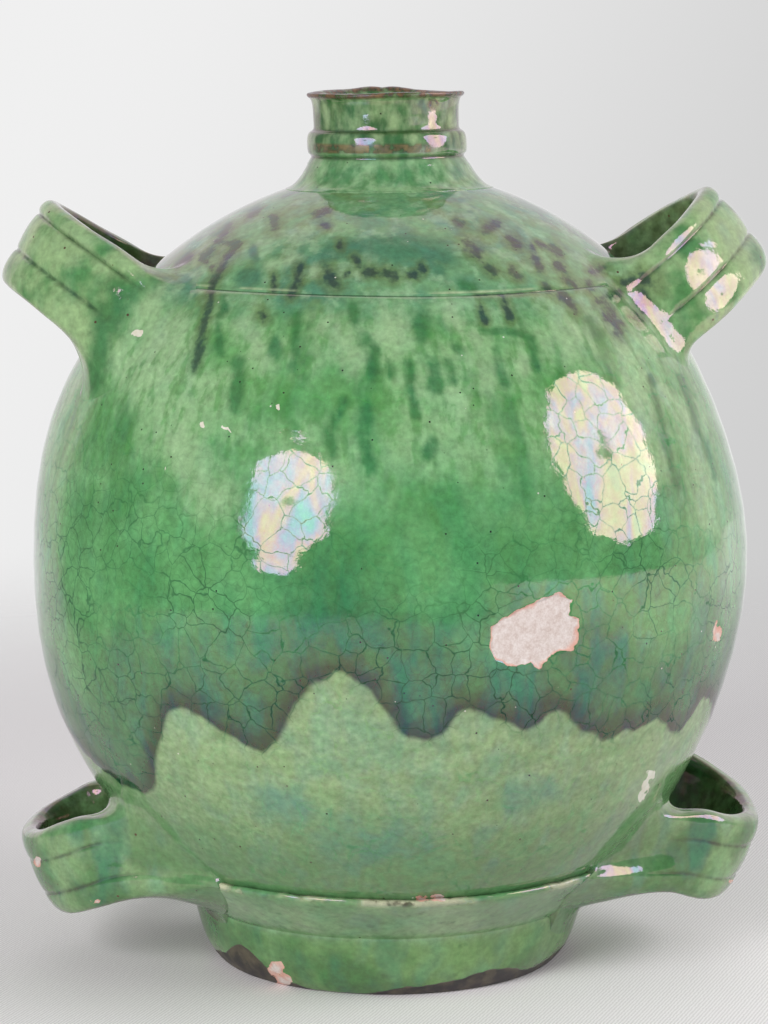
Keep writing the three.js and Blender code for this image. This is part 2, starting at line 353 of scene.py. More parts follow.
def add(tree, kind, inputs=None, out=None, **settings):
    """Adds a shader node, sets or links its inputs, and gives back one of its outputs."""
    node = tree.nodes.new("ShaderNode" + kind)
    for key, value in (USUAL.get(kind, {}) | settings).items():
        setattr(node, key, value)
    for key, value in (inputs or {}).items():
        if isinstance(value, bpy.types.NodeSocket):
            tree.links.new(value, node.inputs[key])
        else:
            node.inputs[key].default_value = srgb(value) if isinstance(value, str) else value
    return node.outputs[out] if out else next((o for o in node.outputs if o.enabled), None)


def empty_tree(owner):
    """The nodes of a material, a lamp or a room, cleared."""
    owner.use_nodes = True
    owner.node_tree.nodes.clear()
    return owner.node_tree


def blank(name):
    """A new material, its nodes, and where on the piece its patterns lie."""
    material = bpy.data.materials.new(name)
    tree = empty_tree(material)
    return material, tree, add(tree, "TexCoord", out="Object")


def plates(tree, where):
    """Crazing parts the glaze into plates: coordinates bent for their edges, and a colour for each."""
    drift = add(tree, "TexNoise", {"Vector": where, "Scale": every(16), "Detail": 3}, out="Color")
    sway = [13 * MM] * 3
    bent = add(tree, "VectorMath", {0: drift, 1: sway, 2: where}, operation="MULTIPLY_ADD")
    return bent, add(tree, "TexVoronoi", {"Vector": bent, "Scale": every(PLATE)}, out="Color")


def cracks(tree, bent):
    """The lines between the plates, and fainter ones that part them again."""
    line = add(tree, "TexVoronoi", {"Vector": bent, "Scale": every(PLATE)}, feature="DISTANCE_TO_EDGE")
    line = add(tree, "MapRange", {0: line, 1: 0, 2: 0.035, 3: 1, 4: 0})
    fine = add(tree, "TexVoronoi", {"Vector": bent, "Scale": every(6)}, feature="DISTANCE_TO_EDGE")
    fine = add(tree, "MapRange", {0: fine, 1: 0, 2: 0.045, 3: 0.36, 4: 0})
    return add(tree, "Math", {0: line, 1: fine}, operation="MAXIMUM")


def specks(tree, where, spacing, size, share):
    """Scattered dots of one size, kept at a share of their places."""
    near = add(tree, "TexVoronoi", {"Vector": where, "Scale": every(spacing)})
    pick = add(tree, "TexVoronoi", {"Vector": where, "Scale": every(spacing)}, out="Color")
    pick = add(tree, "SeparateColor", {0: pick})
    kept = add(tree, "Math", {0: pick, 1: share}, operation="LESS_THAN")
    core, edge = 0.35 * size / spacing, 0.6 * size / spacing
    return add(tree, "MapRange", {0: near, 1: core, 2: edge, 3: kept, 4: 0})


def chipped(tree, where, colour):
    """Bare earthenware where the glaze broke off: chalky and fine-grained, pinker along the break. One
    small white mark drawn this way is a painted highlight.
    """
    inside, clay = (add(tree, "Attribute", attribute_name=name, out="Fac") for name in ("chip", "clay"))
    grain = add(tree, "TexNoise", {"Vector": where, "Scale": every(0.8), "Detail": 2})
    blush = add(tree, "TexNoise", {"Vector": where, "Scale": every(9), "Detail": 2})
    torn = add(tree, "TexNoise", {"Vector": where, "Scale": every(4), "Detail": 3})
    rough = add(tree, "Math", {0: torn, 1: 3.4, 2: inside}, operation="MULTIPLY_ADD")
    face = add(tree, "MapRange", {0: grain, 1: 0.35, 2: 0.65})
    face = add(tree, "Mix", {0: face, 6: "#cdbfb8", 7: "#d4c8c2"})
    red = add(tree, "MapRange", {0: clay, 1: 0.1, 2: 0.6}, interpolation_type="LINEAR")
    face = add(tree, "Mix", {0: red, 6: "#d3d3c4", 7: face})
    deep = add(tree, "MapRange", {0: blush, 1: 0.4, 2: 0.65, 3: 2, 4: 5}, interpolation_type="LINEAR")
    pink = add(tree, "MapRange", {0: rough, 1: 1.6, 2: deep, 3: clay, 4: 0})
    face = add(tree, "Mix", {0: pink, 6: face, 7: "#d3957f"})
    bare = add(tree, "MapRange", {0: rough, 1: 1.6, 2: 1.85})
    return add(tree, "Mix", {0: bare, 6: colour, 7: face}), bare


def glaze_surface(tree, where, colour, bare, plate, crack=None, unevenness=1):
    """The skin that all the glazes share: a clear lead glass, gently uneven, each plate of crazing
    tilted a little, with a weathered film that breaks a lamp's light into pale rainbow colours.
    Along the cracks of the globe it has less shine and no film."""
    grain = add(tree, "TexNoise", {"Vector": where, "Scale": every(3.2), "Detail": 5, "Roughness": 0.62})
    colour = add(tree, "Mix", {0: 0.55, 6: colour, 7: grain}, blend_type="OVERLAY")
    ripple = add(tree, "TexNoise", {"Vector": where, "Scale": every(11), "Detail": 5})
    normal = add(tree, "NewGeometry", out="Normal")
    lean = add(tree, "VectorMath", {0: plate, 1: (0.5, 0.5, 0.5)}, operation="SUBTRACT")
    slight = [0.012 * unevenness] * 3
    tilt = add(tree, "VectorMath", {0: lean, 1: slight, 2: normal}, operation="MULTIPLY_ADD")
    tilt = add(tree, "VectorMath", {0: tilt}, operation="NORMALIZE")
    height = 0.16 * unevenness * MM
    bump = add(tree, "Bump", {"Strength": 1, "Distance": height, "Height": ripple, "Normal": tilt})
    scuff = add(tree, "TexNoise", {"Vector": where, "Scale": every(60), "Detail": 3})
    scuff = add(tree, "MapRange", {0: scuff, 1: 0.52, 2: 0.75, 3: 0.05, 4: 0.13})
    rough = add(tree, "Mix", {0: bare, 2: scuff, 3: 0.85}, data_type="FLOAT")
    tall = add(tree, "Mapping", {"Vector": where, "Scale": (1, 1, 0.4)})
    film = add(tree, "TexNoise", {"Vector": tall, "Scale": every(12), "Detail": 5, "Distortion": 0.6})
    film = add(tree, "MapRange", {0: film, 1: 0.34, 2: 0.66, 3: 264, 4: 356}, interpolation_type="LINEAR")
    shine = 0.5
    if crack:
        film = add(tree, "MapRange", {0: crack, 1: 0.3, 2: 0.7, 3: film, 4: 0})
        shine = add(tree, "MapRange", {0: crack, 1: 0.25, 2: 1, 3: shine, 4: 0.12},
                    interpolation_type="LINEAR")
    film = add(tree, "MapRange", {0: bare, 1: 0.2, 2: 0.6, 3: film, 4: 0})
    shader = add(tree, "BsdfPrincipled", {
        "Base Color": colour, "Roughness": rough, "IOR": 1.62, "Normal": bump, "Specular IOR Level": shine,
        "Specular Tint": "#ffecff", "Thin Film Thickness": film, "Thin Film IOR": 1.74})
    add(tree, "OutputMaterial", {"Surface": shader})


def two_coats(tree, where, strap=None, away=None):
    """Copper-green lead glaze in two coats. The top coat ran down from the shoulder in soft streaks and
    stopped in a wavy edge, where it pooled dark; the thin coat below is a paler sage. Away from the globe
    both give way to the strap's own colour."""
    flow = add(tree, "Attribute", attribute_name="flow", out="Vector")
    coat, fleck, drip, thin, rich = (
        add(tree, "Attribute", attribute_name=name, out="Fac")
        for name in ("coat", "fleck", "drip", "pale", "teal"))
    level = add(tree, "SeparateXYZ", {0: where}, out="Z")
    cloud = add(tree, "TexNoise", {"Vector": where, "Scale": every(38), "Detail": 5})
    stain = add(tree, "TexNoise", {"Vector": where, "Scale": every(9), "Detail": 4})
    fine = add(tree, "TexNoise", {"Vector": where, "Scale": every(2.5), "Detail": 3})
    over_strap = [(away, strap)] if strap else []

    # Top coat: deep green below, paler under the shoulder line, clouded and softly streaked
    pale = add(tree, "MapRange", {0: level, 1: 0.21, 2: 0.285})
    deep = add(tree, "Mix", {0: pale, 6: "#43884e", 7: "#5a985a"})
    light = add(tree, "Mix", {0: pale, 6: "#5a9b60", 7: "#8eb584"})
    mixed = add(tree, "MapRange", {0: cloud, 1: 0.36, 2: 0.64})
    top = add(tree, "Mix", {0: mixed, 6: deep, 7: light})
    long = add(tree, "Mapping", {"Vector": flow, "Scale": (1, 1, 0.28)})
    run = add(tree, "TexNoise", {"Vector": long, "Scale": every(15), "Detail": 2.5, "Distortion": 0.3})
    zone = add(tree, "MapRange", {0: level, 1: 0.17, 2: 0.275, 3: 0.15, 4: 0.75})
    run = add(tree, "MapRange", {0: run, 1: 0.48, 2: 0.7, 3: 0, 4: zone})
    short = add(tree, "Mapping", {"Vector": flow, "Scale": (1, 1, 0.4)})
    trail = add(tree, "TexNoise", {"Vector": short, "Scale": every(6), "Detail": 3, "Distortion": 0.3})
    zone = add(tree, "MapRange", {0: level, 1: 0.2, 2: 0.265, 3: 0.06, 4: 0.55})
    streak = add(tree, "MapRange", {0: trail, 1: 0.46, 2: 0.66, 3: 0, 4: zone})
    # Pale strokes wash the top coat pale: thin glaze, and on the right side painted reflection.
    wavy = add(tree, "Math", {0: trail, 1: -2.2, 2: thin}, operation="MULTIPLY_ADD")
    wash = add(tree, "MapRange", {0: wavy, 1: -1.8, 2: 0, 4: 0.7})
    for mask, shade in ((run, "#35793f"), (streak, "#41843f"), (wash, "#93b588")):
        top = add(tree, "Mix", {0: mask, 6: top, 7: shade})

    # On the dome it is greyer, clouded with teal and olive
    bluish = add(tree, "MapRange", {0: cloud, 1: 0.4, 2: 0.56})
    dome = add(tree, "Mix", {0: bluish, 6: "#4c8465", 7: "#6a9b6c"})
    olive = add(tree, "TexNoise", {"Vector": where, "Scale": every(17), "Detail": 4})
    olive = add(tree, "MapRange", {0: olive, 1: 0.52, 2: 0.66, 4: 0.55})
    vein = add(tree, "MapRange", {0: stain, 1: 0.5, 2: 0.36, 4: 0.6})
    for mask, shade in ((olive, "#667f48"), (vein, "#8bb28a"), (wash, "#9dba90")):
        dome = add(tree, "Mix", {0: mask, 6: dome, 7: shade})
    high = add(tree, "MapRange", {0: level, 1: 0.3, 2: 0.318})
    wavy = add(tree, "Math", {0: stain, 1: 1.4, 2: rich}, operation="MULTIPLY_ADD")
    glassy = add(tree, "MapRange", {0: wavy, 1: 0.2, 2: 1.5, 4: 0.8})
    for mask, shade in [(high, dome), (glassy, "#377457")] + over_strap:
        top = add(tree, "Mix", {0: mask, 6: top, 7: shade})

    # Drips ran on over the line, and flecks of copper and iron melted in, with a rusty edge. One fleck
    # stroke instead darkens a stretch of the incised shoulder line.
    wavy = add(tree, "Math", {0: stain, 1: 2, 2: drip}, operation="MULTIPLY_ADD")
    soft = add(tree, "MapRange", {0: wavy, 1: 0.3, 2: 1.9, 4: 0.85})
    ragged = add(tree, "Math", {0: stain, 1: 2.2, 2: fleck}, operation="MULTIPLY_ADD")
    ragged = add(tree, "Math", {0: fine, 1: 1.4, 2: ragged}, operation="MULTIPLY_ADD")
    brown = add(tree, "MapRange", {0: level, 1: 0.27, 2: 0.315})
    rust = add(tree, "MapRange", {0: ragged, 1: 0.2, 2: 1.9, 4: 0.6})
    rusty = add(tree, "Mix", {0: brown, 6: "#3b7444", 7: "#55703f"})
    blot = add(tree, "MapRange", {0: ragged, 1: 1.6, 2: 2.6, 4: 0.85})
    iron = add(tree, "Mix", {0: brown, 6: "#1c4a35", 7: "#1f4038"})

    # Down to its edge the coat thickens, turns bluish, and pools nearly black
    above = add(tree, "Math", {0: cloud, 1: 60, 2: coat}, operation="MULTIPLY_ADD")
    thick = add(tree, "MapRange", {0: above, 1: 88, 2: 46, 4: 0.75})
    uneven = add(tree, "Math", {0: stain, 1: 16, 2: coat}, operation="MULTIPLY_ADD")
    pooled = add(tree, "MapRange", {0: uneven, 1: 24, 2: 9, 4: 0.95})
    slate = add(tree, "MapRange", {0: stain, 1: 0.4, 2: 0.62})
    slate = add(tree, "Mix", {0: slate, 6: "#104229", 7: "#183c28"})
    for mask, shade in ((soft, "#2b6f3b"), (rust, rusty), (blot, iron),
                        (thick, "#286842"), (pooled, slate)):
        top = add(tree, "Mix", {0: mask, 6: top, 7: shade})

    # Thin lower coat: finely mottled sage with bluish clouds, greener where it gathers over the foot
    mottle = add(tree, "MapRange", {0: fine, 1: 0.35, 2: 0.65})
    low = add(tree, "Mix", {0: mottle, 6: "#7a9f6d", 7: "#87a879"})
    flat = add(tree, "Mapping", {"Vector": where, "Scale": (1, 1, 2.5)})
    ring = add(tree, "TexNoise", {"Vector": flat, "Scale": every(22), "Detail": 5})
    ring = add(tree, "MapRange", {0: ring, 1: 0.42, 2: 0.64, 4: 0.6})
    green = add(tree, "MapRange", {0: level, 1: 0.115, 2: 0.06, 4: 0.8})
    for mask, shade in [(ring, "#66915f"), (glassy, "#5b9070"), (green, "#4c8050")] + over_strap:
        low = add(tree, "Mix", {0: mask, 6: low, 7: shade})
    frayed = add(tree, "Math", {0: stain, 1: 3, 2: coat}, operation="MULTIPLY_ADD")
    covered = add(tree, "MapRange", {0: frayed, 1: 0.2, 2: 3.2})
    return add(tree, "Mix", {0: covered, 6: low, 7: top})


def globe_glaze():
    """Glossy lead glaze over the thrown globe: crazed, pinholed, and broken off in places."""
    material, tree, where = blank("lead_glaze_globe")
    lute, coat = (add(tree, "Attribute", attribute_name=name, out="Fac") for name in ("lute", "coat"))
    level = add(tree, "SeparateXYZ", {0: where}, out="Z")

    # Along the incised line it is thin above and dark below, in patches
    patchy = add(tree, "TexNoise", {"Vector": where, "Scale": every(30), "Detail": 4})
    thin = add(tree, "MapRange", {0: patchy, 1: 0.4, 2: 0.55, 4: 0.75})
    thin = add(tree, "MapRange", {0: lute, 1: 0.3, 2: 0.9, 3: 0, 4: thin})
    deep = add(tree, "MapRange", {0: patchy, 1: 0.65, 2: 0.4, 4: 0.7})
    deep = add(tree, "MapRange", {0: lute, 1: -0.3, 2: -0.9, 3: 0, 4: deep})

    # Cracks show in the top coat, and less towards the shoulder
    bent, plate = plates(tree, where)
    crack = cracks(tree, bent)
    crazed = add(tree, "TexNoise", {"Vector": where, "Scale": every(90), "Detail": 2})
    crazed = add(tree, "MapRange", {0: crazed, 1: 0.36, 2: 0.56, 3: 0.216, 4: 0.72})
    crazed = add(tree, "MapRange", {0: level, 1: 0.29, 2: 0.18, 3: 0, 4: crazed})
    crazed = add(tree, "MapRange", {0: coat, 1: -6, 2: 4, 3: 0, 4: crazed})
    lines = add(tree, "Math", {0: crack, 1: crazed}, operation="MULTIPLY")

    pinholes = specks(tree, where, 6, 0.9, 0.4)
    grit = specks(tree, where, 10, 0.8, 0.3)
    colour = two_coats(tree, where)
    for mask, shade in ((thin, "#a9bd93"), (deep, "#22502f"), (lines, "#1d3b2c"),
                        (pinholes, "#1e2b1e"), (grit, "#c9cfbf")):
        colour = add(tree, "Mix", {0: mask, 6: colour, 7: shade})
    colour, bare = chipped(tree, where, colour)
    split = add(tree, "MapRange", {0: level, 1: 0.3, 2: 0.28, 3: 0, 4: crack})
    glaze_surface(tree, where, colour, bare, plate, split)
    return material


def strap_glaze():
    """The same glaze on the pulled straps: thin and pale along the edges, dark where it pooled in the
    grooves, brown inside the loops."""
    material, tree, where = blank("lead_glaze_straps")
    away, pool, rim, inner = (
        add(tree, "Attribute", attribute_name=name, out="Fac")
        for name in ("away", "pool", "rim", "inner"))
    level = add(tree, "SeparateXYZ", {0: where}, out="Z")
    cloud = add(tree, "TexNoise", {"Vector": where, "Scale": every(24), "Detail": 4})
    stain = add(tree, "TexNoise", {"Vector": where, "Scale": every(6), "Detail": 4})
    blend = add(tree, "MapRange", {0: cloud, 1: 0.38, 2: 0.6})
    upper = add(tree, "MapRange", {0: level, 1: 0.1, 2: 0.25})
    dark = add(tree, "Mix", {0: upper, 6: "#427a47", 7: "#4a834c"})
    light = add(tree, "Mix", {0: upper, 6: "#749e6b", 7: "#8aab78"})
    strap = add(tree, "Mix", {0: blend, 6: dark, 7: light})
    colour = two_coats(tree, where, strap, away)
    for spread, end, first, last, shade in ((rim, 0.6, 0.8, 0.3, "#8c9f84"),
                                            (pool, 0.65, 0.95, 0.4, "#1c4428"),
                                            (inner, 0.7, 0.45, 0.85, "#2f3d1f")):
        mask = add(tree, "MapRange", {0: stain, 1: 0.3, 2: end, 3: first, 4: last})
        mask = add(tree, "Math", {0: mask, 1: spread}, operation="MULTIPLY")
        colour = add(tree, "Mix", {0: mask, 6: colour, 7: shade})
    rust = specks(tree, where, 7, 1.3, 0.25)
    colour = add(tree, "Mix", {0: rust, 6: colour, 7: "#4a3a28"})
    colour, bare = chipped(tree, where, colour)
    glaze_surface(tree, where, colour, bare, plates(tree, where)[1], unevenness=2.5)
    return material


def neck_glaze():
    """The same glaze where it ran thin: yellowish green with soft darker runs, dark in the turned lines,
    worn to brown clay on the lip and on the ring."""
    material, tree, where = blank("lead_glaze_neck")
    wear, pool = (add(tree, "Attribute", attribute_name=name, out="Fac") for name in ("wear", "pool"))
    level = add(tree, "SeparateXYZ", {0: where}, out="Z")
    stain = add(tree, "TexNoise", {"Vector": where, "Scale": every(4), "Detail": 4})
    long = add(tree, "Mapping", {"Vector": where, "Scale": (1, 1, 0.5)})
    run = add(tree, "TexNoise", {"Vector": long, "Scale": every(6), "Detail": 4})
    run = add(tree, "MapRange", {0: run, 1: 0.28, 2: 0.68})
    colour = add(tree, "Mix", {0: run, 6: "#8aa677", 7: "#316434"})
    skirt = add(tree, "MapRange", {0: level, 1: 0.377, 2: 0.37})
    below = add(tree, "Mix", {0: run, 6: "#8ab283", 7: "#4a8450"})
    deep = add(tree, "Math", {0: pool, 1: 0.85}, operation="MULTIPLY")
    worn = add(tree, "MapRange", {0: stain, 1: 0.36, 2: 0.52, 3: 0.35, 4: 1})
    worn = add(tree, "Math", {0: worn, 1: wear}, operation="MULTIPLY")
    brown = add(tree, "MapRange", {0: stain, 1: 0.42, 2: 0.62})
    brown = add(tree, "Mix", {0: brown, 6: "#3a2e1e", 7: "#6f5a3a"})
    pinholes = specks(tree, where, 7, 0.9, 0.35)
    for mask, shade in ((skirt, below), (deep, "#254a26"), (worn, brown), (pinholes, "#20301f")):
        colour = add(tree, "Mix", {0: mask, 6: colour, 7: shade})
    dull = add(tree, "Math", {0: worn, 1: 0.4}, operation="MULTIPLY")
    glaze_surface(tree, where, colour, dull, plates(tree, where)[1])
    return material


def foot_glaze():
    """Thin glaze on the foot, pooled greener below the turned line, chipped cream along its top edge, and
    wiped off the standing edge, where the clay fired dark."""
    material, tree, where = blank("lead_glaze_foot")
    wiped, wear = (add(tree, "Attribute", attribute_name=name, out="Fac") for name in ("wiped", "wear"))
    level = add(tree, "SeparateXYZ", {0: where}, out="Z")
    cloud = add(tree, "TexNoise", {"Vector": where, "Scale": every(34), "Detail": 4})
    stain = add(tree, "TexNoise", {"Vector": where, "Scale": every(7), "Detail": 4})
    blend = add(tree, "MapRange", {0: cloud, 1: 0.38, 2: 0.62})
    high = add(tree, "Mix", {0: blend, 6: "#5c8f5e", 7: "#7ea578"})
    low = add(tree, "Mix", {0: blend, 6: "#3d7643", 7: "#649459"})
    line = add(tree, "MapRange", {0: level, 1: 0.024, 2: 0.034})
    colour = add(tree, "Mix", {0: line, 6: low, 7: high})
    blotch = add(tree, "MapRange", {0: stain, 1: 0.58, 2: 0.72, 4: 0.5})
    gone = add(tree, "Math", {0: stain, 1: 3, 2: wiped}, operation="MULTIPLY_ADD")
    gone = add(tree, "MapRange", {0: gone, 1: 1.2, 2: 1.9})
    scorch = add(tree, "MapRange", {0: stain, 1: 0.4, 2: 0.7})
    scorch = add(tree, "Mix", {0: scorch, 6: "#2b2c26", 7: "#57513f"})
    broken = add(tree, "MapRange", {0: cloud, 1: 0.4, 2: 0.52})
    broken = add(tree, "Math", {0: broken, 1: wear}, operation="MULTIPLY")
    cream = add(tree, "MapRange", {0: stain, 1: 0.5, 2: 0.62})
    cream = add(tree, "Mix", {0: cream, 6: "#abae90", 7: "#4d4c34"})
    pinholes = specks(tree, where, 10, 1, 0.3)
    for mask, shade in ((blotch, "#3a6a40"), (gone, scorch), (broken, cream), (pinholes, "#1e2b1e")):
        colour = add(tree, "Mix", {0: mask, 6: colour, 7: shade})
    colour, bare = chipped(tree, where, colour)
    dull = add(tree, "Math", {0: gone, 1: broken}, operation="MAXIMUM")
    dull = add(tree, "Math", {0: dull, 1: 0.6}, operation="MULTIPLY")
    dull = add(tree, "Math", {0: dull, 1: bare}, operation="MAXIMUM")
    glaze_surface(tree, where, colour, dull, plates(tree, where)[1])
    return material


# The glaze's runs and the chips, at their pixels in the photograph

DRIP_FRONT = [(84, 751), (107, 774), (128, 789), (146, 795), (154, 787), (159, 757), (165, 733),
              (173, 713), (183, 709), (198, 716), (224, 734), (246, 748), (261, 753), (274, 747),
              (283, 731), (293, 714), (306, 697), (321, 683), (343, 675), (362, 685), (377, 698),
              (388, 717), (400, 732), (421, 741), (438, 736), (450, 726), (461, 714), (478, 710),
              (495, 719), (514, 724), (530, 729), (541, 722), (549, 711), (560, 710), (574, 724),
              (590, 733), (605, 740), (621, 734), (645, 727), (659, 720), (669, 731), (680, 733),
              (690, 720), (703, 699)]
# Behind, as degrees round from the front and millimetres up
DRIP_BACK = [(82, 96), (90, 84), (98, 74), (105, 88), (112, 104), (121, 99), (130, 88), (138, 76),
             (146, 70), (153, 84), (160, 98), (168, 108), (177, 112), (186, 100), (194, 84), (201, 70),
             (208, 60), (215, 76), (222, 92), (230, 99), (238, 101), (246, 88), (252, 78), (258, 82),
             (265, 96), (276, 113)]
LOSS = [(560, 592), (575, 599), (572, 614), (581, 618), (580, 640), (575, 649), (560, 651), (550, 658),
        (541, 668), (534, 662), (513, 665), (498, 660), (493, 649), (493, 626), (505, 617), (529, 604)]

# Strokes of the glaze: from one pixel to another, and how thick. Flecks are dark, drips are soft and
# green, pale strokes are thin glaze, but two on the right side are painted reflection, and teal strokes
# are thick.
FLECKS = [(216, 241, 238, 244, 5), (238, 244, 226, 260, 5), (226, 260, 214, 284, 5),
          (214, 284, 211, 306, 5), (211, 306, 200, 352, 4.5), (200, 352, 195, 370, 4),
          (250, 213, 258, 209, 5), (273, 219, 273, 226, 6), (315, 212, 325, 208, 5),
          (321, 224, 326, 226, 4), (221, 234, 228, 226, 6), (203, 257, 211, 251, 6),
          (177, 264, 189, 256, 5), (207, 263, 212, 267, 4), (300, 267, 297, 285, 5),
          (297, 285, 292, 296, 5), (274, 276, 274, 292, 3.5), (328, 271, 335, 285, 7),
          (347, 273, 349, 273, 4), (366, 272, 374, 271, 5), (386, 272, 396, 276, 6),
          (409, 274, 417, 274, 4.5), (422, 265, 424, 269, 4), (356, 259, 357, 262, 5),
          (339, 242, 339, 246, 4), (453, 220, 461, 224, 4), (485, 229, 496, 226, 6),
          (507, 237, 517, 246, 5), (465, 243, 477, 252, 7), (476, 254, 479, 258, 4),
          (487, 266, 495, 272, 5), (512, 271, 519, 276, 5), (534, 256, 540, 270, 5),
          (531, 246, 534, 251, 4), (536, 243, 544, 246, 3.5), (551, 246, 560, 254, 5),
          (554, 264, 562, 269, 4), (544, 285, 549, 291, 4), (566, 279, 576, 287, 5),
          (588, 283, 591, 290, 4), (593, 271, 603, 269, 5), (602, 301, 616, 296, 6),
          (481, 306, 487, 321, 4), (504, 300, 512, 318, 4.5), (562, 295, 575, 311, 5),
          # The thin stroke from (475, 295) to (552, 293) is no fleck: it darkens a stretch of the incised
          # shoulder line.
          (475, 295, 552, 293, 1.6), (263, 314, 265, 320, 5), (623, 324, 618, 334, 5),
          (606, 316, 608, 321, 4), (640, 303, 646, 312, 4), (610, 298, 620, 294, 7),
          (645, 278, 652, 286, 9), (626, 283, 634, 279, 6), (645, 292, 648, 302, 7),
          (614, 322, 622, 332, 7), (634, 318, 640, 320, 6), (590, 286, 593, 290, 5),
          (612, 310, 616, 318, 5)]
DRIPS = [(224, 300, 226, 312, 4), (226, 312, 219, 318, 3), (220, 325, 222, 354, 5),
         (239, 366, 234, 409, 7), (298, 316, 296, 354, 6), (296, 354, 292, 370, 5),
         (277, 343, 276, 356, 7), (367, 336, 368, 341, 7), (377, 350, 372, 376, 7),
         (355, 306, 356, 322, 5), (410, 362, 410, 388, 5), (410, 388, 415, 416, 5),
         (391, 362, 391, 376, 4), (343, 404, 327, 431, 6), (327, 431, 331, 457, 6),
         (368, 405, 363, 440, 8), (363, 440, 367, 468, 8), (421, 321, 423, 337, 7),
         (433, 364, 437, 388, 7), (449, 361, 454, 381, 5), (456, 347, 459, 351, 5),
         (483, 330, 514, 331, 4), (514, 331, 531, 338, 4.5), (531, 338, 536, 368, 4.5),
         (497, 349, 504, 385, 5), (590, 321, 600, 338, 5), (430, 440, 425, 456, 6),
         (473, 287, 462, 283, 5), (652, 378, 676, 490, 4), (682, 378, 714, 478, 4),
         (107, 325, 98, 385, 12), (118, 290, 108, 328, 17)]
PALE = [(394, 322, 404, 332, 16), (330, 330, 345, 340, 16), (356, 355, 352, 362, 14),
        (150, 310, 170, 345, 26), (473, 336, 478, 340, 11), (507, 305, 506, 310, 6),
        (480, 362, 486, 376, 16), (421, 378, 420, 390, 9), (523, 358, 524, 368, 7),
        (450, 310, 460, 322, 10), (268, 266, 297, 258, 7), (367, 254, 370, 258, 7),
        (315, 268, 317, 272, 6), (340, 272, 342, 275, 5), (357, 273, 359, 275, 5),
        (196, 262, 206, 240, 5), (560, 330, 575, 345, 12), (175, 445, 215, 500, 24),
        # The strokes from (640, 400) and (690, 420) are painted reflection: the pale haze mirrored on the
        # right side.
        (640, 400, 655, 470, 18), (690, 420, 705, 520, 16), (250, 330, 262, 350, 14)]
TEAL = [(330, 248, 392, 246, 12), (392, 246, 444, 252, 16), (430, 262, 440, 268, 8),
        (245, 279, 256, 278, 10), (252, 247, 255, 257, 5), (330, 840, 420, 850, 26),
        (270, 800, 300, 815, 20), (510, 800, 545, 790, 16)]
# Small chips, pink with clay, and white flakes, the first of which is a painted highlight: a pixel, and
# half a width and height
CHIPS = [(718, 632, 4, 10), (420, 898, 7, 3), (437, 897, 8, 3), (276, 968, 9, 7), (284, 980, 8, 6),
         (753, 855, 3, 8), (731, 881, 4, 2), (662, 900, 4, 2), (690, 903, 5, 2), (35, 863, 3, 5),
         (95, 902, 6, 2)]
# The first of these, at (140, 335), is a painted highlight: a small glint painted white.
FLAKES_AND_GLINT = [(140, 335, 6, 3), (650, 776, 4, 6), (645, 787, 4, 6), (640, 798, 4, 5), (202, 427, 3, 4),
          (224, 429, 3, 3), (231, 437, 2, 2), (277, 409, 3, 4), (236, 441, 2, 2), (166, 472, 2, 4),
          (212, 402, 2, 2)]


def around(p):
    """Degrees round from the front, to the right."""
    return np.degrees(np.arctan2(p[:, 0], -p[:, 1]))


def drip_line():
    """The lower edge of the top coat, as points all round the globe, and their degrees."""
    front = on_globe(DRIP_FRONT)
    known = np.concatenate([np.stack([around(front), front[:, 2]], axis=1), DRIP_BACK])
    known = known[np.argsort(known[:, 0])]
    known = np.concatenate([known - (360, 0), known, known + (360, 0)])
    turns, levels = known.T

    # A smooth line through the known points, that nowhere overshoots them
    rate = np.diff(levels) / np.diff(turns)
    slope = np.zeros(len(turns))
    same = rate[1:] * rate[:-1] > 0
    slope[1:-1][same] = 2 / (1 / rate[1:][same] + 1 / rate[:-1][same])
    fine = np.linspace(DRIP_START, DRIP_START + 360, 3000)
    i = np.clip(np.searchsorted(turns, fine) - 1, 0, len(turns) - 2)
    gap = turns[i + 1] - turns[i]
    t = (fine - turns[i]) / gap
    line = ((2 * t**3 - 3 * t**2 + 1) * levels[i] + (t**3 - 2 * t**2 + t) * gap * slope[i]
            + (3 * t**2 - 2 * t**3) * levels[i + 1] + (t**3 - t**2) * gap * slope[i + 1])

    turn = np.radians(fine)
    line += 0.5 * np.sin(61 * turn) + 0.4 * np.sin(97 * turn + 1)
    radius = globe_radius(line)
    return np.stack([radius * np.sin(turn), -radius * np.cos(turn), line], axis=1), fine


def above_drip(p):
    """Millimetres above the edge of the top coat, and less than nothing below it."""
    line, turns = drip_line()
    tree = KDTree(len(line))
    for i, point in enumerate(line):
        tree.insert(point, i)
    tree.balance()
    near = np.array([tree.find(point)[2] for point in p])
    turn = (around(p) - DRIP_START) % 360 + DRIP_START
    return np.where(p[:, 2] > np.interp(turn, turns, line[:, 2]), near, -near)


def within(outline, p):
    """Millimetres inside an outline that is drawn in the photograph's pixels."""
    deep = inside_ring(to_pixels(p), np.array(outline, float)) * PIXEL
    return np.where(p[:, 1] < 0, deep, UNBROKEN)


def strokes(p, marks):
    """How far points lie inside the nearest stroke: 1 on its middle, 0 on its edge. Behind, the strokes
    run as they do in front."""
    spot = to_pixels(np.where(seen(p)[:, None], p, p * (-1, -1, 1)))
    best = np.full(len(p), NO_STROKE)
    for *ends, thick in marks:
        best = np.maximum(best, 1 - from_line(spot, *np.reshape(ends, (2, 2))) / thick)
    return best


def flow_of(p):
    """Coordinates that follow the glaze: round the jug, and down its side."""
    radius = np.maximum(from_axis(p), 1e-6)
    return np.stack([p[:, 0] / radius * BELLY_RADIUS, p[:, 1] / radius * BELLY_RADIUS,
                     p[:, 2] + (BELLY_RADIUS - radius)], axis=1) * MM


